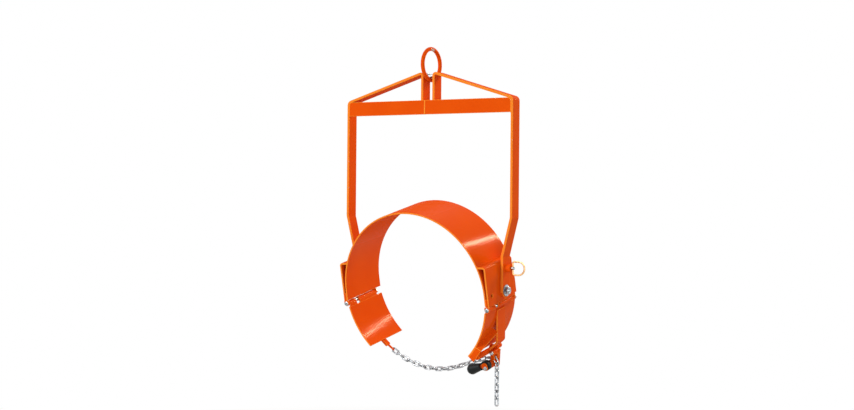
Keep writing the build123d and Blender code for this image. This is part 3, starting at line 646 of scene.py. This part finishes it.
def saddle_welds(ripple):
    """Beads that join the two brackets and the end lugs to the band."""
    step = ripple / RIPPLE_STEPS
    flange_z, flange_ends, flange_bead = 105.0, (-101.0, 73.0), 3.2
    lug_x, lug_faces, lug_ends, lug_bead = 297.0, (-103.4, 75.0), (-33.0, -7.0), 1.6
    flange_x = math.sqrt(SEAT_OUTSIDE**2 - flange_z**2)
    beads = []
    for side in SIDES:
        ends = [saddle(side * flange_x, y, flange_z) for y in flange_ends]
        beads.append(bead(line(*ends, step), flange_bead, ripple))
        for y in lug_faces:
            ends = [saddle(side * lug_x, y, z) for z in lug_ends]
            beads.append(bead(line(*ends, step), lug_bead, ripple))
    return beads


def wing_welds(side, ripple):
    """Beads along a wing's upper edge, outside and ground flush inside, where the knuckles' necks join."""
    step = ripple / RIPPLE_STEPS
    edge = math.radians(11.2)
    necks = ((-96.0, -57.5), (-35.5, 66.5))
    outside, inside = (291.4, 2.0), (288.0, 1.4)
    beads = []
    for neck in necks:
        for radius, thick in (outside, inside):
            x, z = side * radius * math.cos(edge), -radius * math.sin(edge)
            ends = [saddle(x, y, z) for y in neck]
            beads.append(bead(line(*ends, step), thick, ripple))
    return beads


def tightener_welds(radius, ripple):
    """Beads of the right wing's arm, rib, tube and frame plate. Those beside the rib follow its foot: each
    point of its middle line goes inwards to the wing's outer radius, and 0.6 mm out again."""
    step = ripple / RIPPLE_STEPS
    slim, tube_bead = 2.2, 1.7
    arm_x, arm_z, arm_half = 285.0, -63.5, 25.0
    arm_arc, arm_sides = (292.3, 12.9, 16.8), (-26.4, 26.4)
    rib_ends = (240.2, -97.0, -184.3), (267.0, -28.0, -141.0)
    rib_out, rib_across = np.array([0.8443, 0.0, -0.5358]), np.array([-0.4335, 0.588, -0.683])
    rib_half, rib_arc, rib_front = 3.6, (292.2, 38.5, 46.0), -96.4
    tube_x, tube_z, tube_ring, tube_rear = 227.99, -214.02, 10.2, 7.4
    front_from, front_to, front_points = 60.0, 205.0, 60
    arm_top = [saddle(arm_x, y, arm_z) for y in (-arm_half, arm_half)]
    beads = [bead(line(*arm_top, step), radius, ripple)]
    for y in arm_sides:
        beads.append(bead(arc(*arm_arc, y, step), slim, ripple))
    middle = line(*rib_ends, step)
    flat = middle * [1.0, 0.0, 1.0]
    outward = flat @ rib_out
    inward = outward - np.sqrt(outward**2 - (flat**2).sum(axis=1) + SEAT_OUTSIDE**2)
    foot = middle - (inward - 0.6)[:, None] * rib_out
    for offset in (-rib_half, rib_half):
        beads.append(bead(saddle(*(foot + offset * rib_across).T), slim, ripple))
    beads.append(bead(arc(*rib_arc, rib_front, step), slim, ripple))
    rear = ring_path(saddle(tube_x, tube_rear, tube_z), ACROSS, ABOVE, tube_ring, step)
    beads.append(bead(rear, tube_bead, ripple))
    turn = np.radians(np.linspace(front_from, front_to, front_points))
    front = saddle(tube_x + tube_ring * np.cos(turn), rib_front, tube_z + tube_ring * np.sin(turn))
    beads.append(bead(front, tube_bead, ripple))
    return beads


def anchor_welds(ripple):
    """Beads along both sides of the chain anchor's pad below the left wing."""
    thick, pad_arc, pad_sides = 2.0, (292.2, 180.0 - 37.6, 180.0 - 42.4), (-22.4, -1.6)
    return [bead(arc(*pad_arc, y, ripple / RIPPLE_STEPS), thick, ripple) for y in pad_sides]


def nut_groups():
    """Nuts by node, each standing on its seat."""
    pivot_seat, stud_seat, rod_seat, plate_seat = 316.65, 11.25, 75.0, 16.0
    groups = {"pivot_nuts": [], "ring_stud_nuts": [], "hinge_rod_nuts": []}
    for side in SIDES:
        out = side * ACROSS
        stud = stud_seat * out + STUD_HEIGHT * UP
        rod = saddle(side * HINGE[0], rod_seat, HINGE[1])
        groups["pivot_nuts"].append(nut(PIVOT + pivot_seat * out, out, *NUT_16))
        groups["ring_stud_nuts"].append(nut(stud, out, *NUT_14))
        groups["hinge_rod_nuts"].append(nut(rod, ALONG, *NUT_10))
    claw, lever = (saddle(x, plate_seat, z) for x, z in (CLAW_BOLT, LEVER_PIN))
    groups["claw_bolt_nut"] = [nut(claw, ALONG, *NUT_8)]
    groups["lever_pin_nut"] = [nut(lever, ALONG, *NUT_10)]
    return groups


def trunnion(side, sizes):
    """Trunnion: a flange inside the bracket, a plain journal and a threaded end."""
    flange, journal, thread, bevel = 18.0, 10.0, 16.0, 1.0
    flange_inside, journal_from, journal_to, thread_from, tip = 292.0, 5.0, 21.65, 21.8, 37.65
    rows = [
        (0.0, POLE), (0.0, flange - bevel), (bevel, flange), (journal_from, flange),
        (journal_from, journal), (journal_to, journal), (journal_to, thread / 2),
    ]
    base = PIVOT + side * flange_inside * ACROSS
    return pin(base, side * ACROSS, rows, (thread, thread_from, tip), sizes)


def hinge_rod(side, sizes):
    """Hinge rod: a low round head in front, a plain shank and a threaded rear end."""
    front, head_height, head_radius = -108.0, 4.0, 8.0
    diameter, shank_end, thread_from, tip = 10.0, 183.0, 183.2, 193.0
    rows = domed_rows(head_height, head_radius, diameter / 2, shank_end)
    return pin(saddle(side * HINGE[0], front, HINGE[1]), ALONG, rows, (diameter, thread_from, tip), sizes)


def claw_bolt(sizes):
    """Bolt of the chain's claw: a hexagon head in front, a plain shank and a threaded rear end."""
    front, flats, head_height = -32.5, 13.0, 5.5
    diameter, shank_end, thread_from, tip = 8.0, 46.5, 46.7, 59.5
    base = saddle(CLAW_BOLT[0], front, CLAW_BOLT[1])
    rows = [(head_height, diameter / 2), (shank_end, diameter / 2)]
    return pin(base, ALONG, rows, (diameter, thread_from, tip), sizes, (flats, head_height))


def lever_pin(sizes):
    """Pin of the tightener lever: a low round head in front, a plain shank and a threaded rear end."""
    front, head_height, head_radius = -62.65, 2.5, 7.0
    diameter, shank_end, thread_from, tip = 10.0, 76.5, 76.7, 89.65
    rows = domed_rows(head_height, head_radius, diameter / 2, shank_end)
    return pin(saddle(LEVER_PIN[0], front, LEVER_PIN[1]), ALONG, rows, (diameter, thread_from, tip), sizes)


def spring_grid(low, high):
    """Wound spring between two corners: a wire carried along a helix. At the share s of its turns it has
    gone 3 s^2 - 2 s^3 of its length, so that its end turns lie flat."""
    wire, turns, points, columns = 2.0, 3.0, 180, 16
    share = np.linspace(0.0, 1.0, points)
    gone = share * share * (3 - 2 * share)
    turn = FULL_TURN * turns * share
    reach = (high[2] - low[2] - wire) / 2
    middle = (low + high) / 2
    x = low[0] + wire / 2 + (high[0] - low[0] - wire) * gone
    path = np.stack([x, middle[1] + reach * np.cos(turn), middle[2] + reach * np.sin(turn)], axis=-1)
    return carried(path, around(columns)[None, :], np.full((points, columns), wire / 2))


def ring_grid():
    """Lifting ring: a rod's circle carried once round the eye. At the distance d from its weld and the
    angle a from outside, the rod's radius is r (1 + 0.05 exp(-(d / 4)^2) (1 + cos a) / 2)."""
    rod_radius, ring_radius, centre_z, weld_at = 7.0, 55.0, -48.0, math.radians(20)
    rows, columns = 160, 32
    turn = around(rows)[:, None]
    angle = around(columns)[None, :]
    away = (turn - weld_at) * ring_radius
    rod = rod_radius * (1 + 0.05 * np.exp(-((away / 4.0) ** 2)) * (1 + np.cos(angle)) / 2)
    reach = ring_radius + rod * np.cos(angle)
    across, deep, up = rod * np.sin(angle), reach * np.cos(turn), centre_z + reach * np.sin(turn)
    return np.stack([across, deep, up], axis=-1) * MM


def grip_grid():
    """Rubber grip, turned round the lever: a rolled lip, then a cone that runs smoothly into a ball. Along
    two sides the mould's seam stands proud by 0.25 exp(-(sin a / 0.05)^2)."""
    cam_reach, cam_angle, cam_front, lever_angle = 345.3, math.radians(48.35), -46.0, math.radians(196)
    neck, bulb, mid, start, bore = 12.0, 19.0, 60.0, 21.0, 7.0
    lip_radius, lip_inset, lip_end, columns = 1.6, 0.6, 4.0, 96
    base = saddle(cam_reach * math.cos(cam_angle), cam_front, -cam_reach * math.sin(cam_angle))
    way = math.cos(lever_angle) * ACROSS + math.sin(lever_angle) * ABOVE
    lean = math.asin((bulb - neck) / (mid - start))
    cone_end, cone_end_radius = mid - bulb * math.sin(lean), bulb * math.cos(lean)
    lip = np.radians(np.linspace(-80.0, 80.0, 7))
    lip_h = start + lip_radius + lip_radius * np.sin(lip)
    lip_r = neck - lip_inset + lip_radius * np.cos(lip)
    cone_h = np.linspace(start + lip_end, cone_end, 24)
    cone_r = neck + (cone_h - start) * (cone_end_radius - neck) / (cone_end - start)
    crown = np.linspace(-lean, math.radians(89.0), 26)
    h = np.concatenate([[start], lip_h, cone_h, mid + bulb * np.sin(crown)])
    r = np.concatenate([[bore], lip_r, cone_r, bulb * np.cos(crown)])[:, None]
    seam = 0.25 * np.exp(-((np.sin(around(columns)) / 0.05) ** 2))[None, :]
    return turned(base, way, h, r + seam * (r > bore + 1.0), columns)


def backdrop_level(tree, lit):
    """Strength of the white surroundings: white where seen or mirrored, less where they only light."""
    rays = add(tree, "LightPath").outputs
    mirrored = add(
        tree, "Math", {0: rays["Is Glossy Ray"], 1: rays["Is Transmission Ray"]}, operation="MAXIMUM"
    )
    seen = add(tree, "Math", {0: rays["Is Camera Ray"], 1: mirrored.outputs[0]}, operation="MAXIMUM")
    return add(tree, "MapRange", {"Value": seen.outputs[0], "To Min": lit, "To Max": 1.0}).outputs[0]


def floor_grid():
    """Flat round floor below the object: rows of growing radius."""
    rows, columns = FLOOR_GRID
    radius = np.linspace(0.0, FLOOR_RADIUS, rows)[:, None]
    angle = around(columns)[None, :]
    height = np.full(FLOOR_GRID, CAD_BOX[0][2] - FLOOR_DROP)
    return np.stack([radius * np.cos(angle), radius * np.sin(angle), height], axis=-1)


def floor_material(colours):
    """Matt studio floor: pale, keeps the object's shadow, and fades into the white surroundings."""
    material, tree, shader, place = new_material("studio_floor")
    shader.inputs["Base Color"].default_value = colours.floor
    shader.inputs["Roughness"].default_value = 0.9
    away = add(tree, "VectorMath", {0: place}, operation="LENGTH").outputs["Value"]
    fade = add(tree, "MapRange", {"Value": away, "From Min": FADE_FROM, "From Max": FADE_TO})
    glow = add(tree, "Emission", {"Strength": backdrop_level(tree, FLOOR_LIT)})
    blend = add(
        tree, "MixShader", {0: fade.outputs[0], 1: shader.outputs["BSDF"], 2: glow.outputs["Emission"]}
    )
    tree.links.new(blend.outputs[0], tree.nodes["Material Output"].inputs["Surface"])
    return material


def studio_world():
    """White world round the object."""
    world = bpy.data.worlds.new("studio")
    world.use_nodes = True
    tree = world.node_tree
    tree.nodes.clear()
    white = (1.0, 1.0, 1.0, 1.0)
    sky = add(tree, "Background", {"Strength": backdrop_level(tree, WORLD_LIT), "Color": white})
    add(tree, "OutputWorld", {"Surface": sky.outputs[0]})
    return world


def studio_lamp(name, offset, width, length, watts):
    """Rectangular lamp at an offset from the object's middle, which it faces."""
    middle = Vector(CAD_BOX[0]).lerp(Vector(CAD_BOX[1]), 0.5)
    light = bpy.data.lights.new(name, "AREA")
    light.shape = "RECTANGLE"
    light.size = width
    light.size_y = length
    light.energy = watts
    lamp = bpy.data.objects.new(name, light)
    lamp.location = middle + Vector(offset)
    lamp.rotation_euler = (-Vector(offset)).to_track_quat("-Z", "Y").to_euler()
    bpy.context.scene.collection.objects.link(lamp)
    return lamp


class HANDLER_OT_stage(bpy.types.Operator):
    """Makes the floor, the lights, the world and the camera"""

    bl_idname = "handler.stage"
    bl_label = "Stage"

    def execute(self, context):
        scene = context.scene
        colours = scene.handler_colours
        floor = new_piece("floor", [floor_grid()], closed=False)
        floor.data.materials.append(floor_material(colours))
        scene.world = studio_world()
        lamps = {name: studio_lamp(name, *lamp) for name, lamp in LAMPS.items()}
        lamps["strip"].data.color = colours.strip[:3]
        lens = bpy.data.cameras.new("camera")
        lens.sensor_width = SENSOR
        lens.lens = LENS
        camera = bpy.data.objects.new("camera", lens)
        look = Vector(CAMERA_LOOK).to_track_quat("-Z", "Y").to_matrix().to_4x4()
        roll = Matrix.Rotation(CAMERA_ROLL, 4, "Z")
        camera.matrix_world = Matrix.Translation(CAMERA_PLACE) @ look @ roll
        scene.collection.objects.link(camera)
        scene.camera = camera
        scene.view_settings.view_transform = "Standard"
        return {"FINISHED"}


class HANDLER_OT_frame_finishes(bpy.types.Operator):
    """Gives the frame's own nodes their finishes"""

    bl_idname = "handler.frame_finishes"
    bl_label = "Frame finishes"

    def execute(self, context):
        materials = finishes()
        for node, piece in NODES.items():
            slot = "rubbed_paint" if node == "lifting_ring" else SLOT_OF[node]
            piece.data.materials.clear()
            piece.data.materials.append(materials[slot])
        return {"FINISHED"}


class HANDLER_OT_plates(bpy.types.Operator):
    """Rounds the edges of the painted plates and bars"""

    bl_idname = "handler.plates"
    bl_label = "Painted plates"

    def execute(self, context):
        for node, radius in ROUNDED_PLATES.items():
            rounded_plate(node, radius)
        return {"FINISHED"}


class HANDLER_OT_welds(bpy.types.Operator):
    """Lays the painted weld beads where the plates meet"""

    bl_idname = "handler.welds"
    bl_label = "Welds"

    def execute(self, context):
        sizes = context.scene.handler_sizes
        radius, ripple = sizes.weld_radius / MM, sizes.weld_ripple / MM
        yoke_beads = yoke_welds(radius, ripple)
        yoke = new_piece("yoke_welds", yoke_beads)
        finish_piece(yoke, "crossbar_weld")
        # The crossbar's seam, whose faces are the first, is painted paler: a painted highlight along its
        # crest
        seam_rows, seam_columns = yoke_beads[0].shape[:2]
        seam_highlight = np.arange(len(yoke.data.polygons)) < (seam_rows - 1) * seam_columns
        edge = yoke.data.attributes.new("edge", "FLOAT", "FACE")
        edge.data.foreach_set("value", seam_highlight.astype(np.float32))
        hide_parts("crossbar_weld")
        left, right = (wing_welds(side, ripple) for side in SIDES)
        for name, node, beads in (
            ("saddle_welds", "saddle_band", saddle_welds(ripple)),
            ("right_wing_welds", "right_wing_plate", right + tightener_welds(radius, ripple)),
            ("left_wing_welds", "left_wing_plate", left + anchor_welds(ripple)),
        ):
            finish_piece(new_piece(name, beads), node)
        return {"FINISHED"}


class HANDLER_OT_fasteners(bpy.types.Operator):
    """Makes the nuts, pins and bolts with their chamfers and threads"""

    bl_idname = "handler.fasteners"
    bl_label = "Fasteners"

    def execute(self, context):
        sizes = context.scene.handler_sizes
        for node, nuts in nut_groups().items():
            stand_in(node + "_chamfered", node, nuts, round_rows=True)
        for side, node in zip(SIDES, ("left_trunnion", "right_trunnion")):
            stand_in(node + "_pin", node, [trunnion(side, sizes)])
        for side, node in zip(SIDES, ("left_hinge_rod", "right_hinge_rod")):
            stand_in(node + "_turned", node, [hinge_rod(side, sizes)])
        stand_in("claw_bolt_turned", "claw_bolt", [claw_bolt(sizes)])
        stand_in("lever_pin_turned", "lever_pin", [lever_pin(sizes)])
        return {"FINISHED"}


class HANDLER_OT_spring(bpy.types.Operator):
    """Winds the lock pin's spring"""

    bl_idname = "handler.spring"
    bl_label = "Lock spring"

    def execute(self, context):
        low, high = (np.array(corner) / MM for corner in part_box("lock_spring"))
        piece = stand_in("lock_spring_wound", "lock_spring", [spring_grid(low, high)])
        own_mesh(piece)
        return {"FINISHED"}


class HANDLER_OT_ring(bpy.types.Operator):
    """Bends the lifting ring with the weld that closes it"""

    bl_idname = "handler.ring"
    bl_label = "Lifting ring"

    def execute(self, context):
        stand_in("lifting_ring_welded", "lifting_ring", [ring_grid()], slot="rubbed_paint", round_rows=True)
        return {"FINISHED"}


class HANDLER_OT_grip(bpy.types.Operator):
    """Moulds the lever's rubber grip"""

    bl_idname = "handler.grip"
    bl_label = "Grip"

    def execute(self, context):
        stand_in("lever_grip_moulded", "lever_grip", [grip_grid()])
        return {"FINISHED"}


class HANDLER_PT_sidebar(bpy.types.Panel):
    """Sizes, colours and operators of the handler"""

    bl_idname = "HANDLER_PT_sidebar"
    bl_label = "Handler"
    bl_space_type = "VIEW_3D"
    bl_region_type = "UI"
    bl_category = "Handler"

    def draw(self, context):
        for group in (context.scene.handler_sizes, context.scene.handler_colours):
            box = self.layout.box()
            for name in group.__annotations__:
                box.prop(group, name)
        for operator in OPERATORS:
            self.layout.operator(operator.bl_idname)


OPERATORS = (
    HANDLER_OT_stage,
    HANDLER_OT_frame_finishes,
    HANDLER_OT_plates,
    HANDLER_OT_welds,
    HANDLER_OT_fasteners,
    HANDLER_OT_spring,
    HANDLER_OT_ring,
    HANDLER_OT_grip,
)
CLASSES = (HandlerSizes, HandlerColours, *OPERATORS, HANDLER_PT_sidebar)


def register():
    """Registers the classes and gives the scene its sizes and colours."""
    for cls in CLASSES:
        bpy.utils.register_class(cls)
    bpy.types.Scene.handler_sizes = bpy.props.PointerProperty(type=HandlerSizes)
    bpy.types.Scene.handler_colours = bpy.props.PointerProperty(type=HandlerColours)


def unregister():
    """Takes back what register did, in the opposite order."""
    del bpy.types.Scene.handler_colours
    del bpy.types.Scene.handler_sizes
    for cls in reversed(CLASSES):
        bpy.utils.unregister_class(cls)


def main():
    """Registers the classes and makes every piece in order."""
    register()
    bpy.ops.handler.stage()
    bpy.ops.handler.frame_finishes()
    bpy.ops.handler.plates()
    bpy.ops.handler.welds()
    bpy.ops.handler.fasteners()
    bpy.ops.handler.spring()
    bpy.ops.handler.ring()
    bpy.ops.handler.grip()


if __name__ == "__main__":
    main()
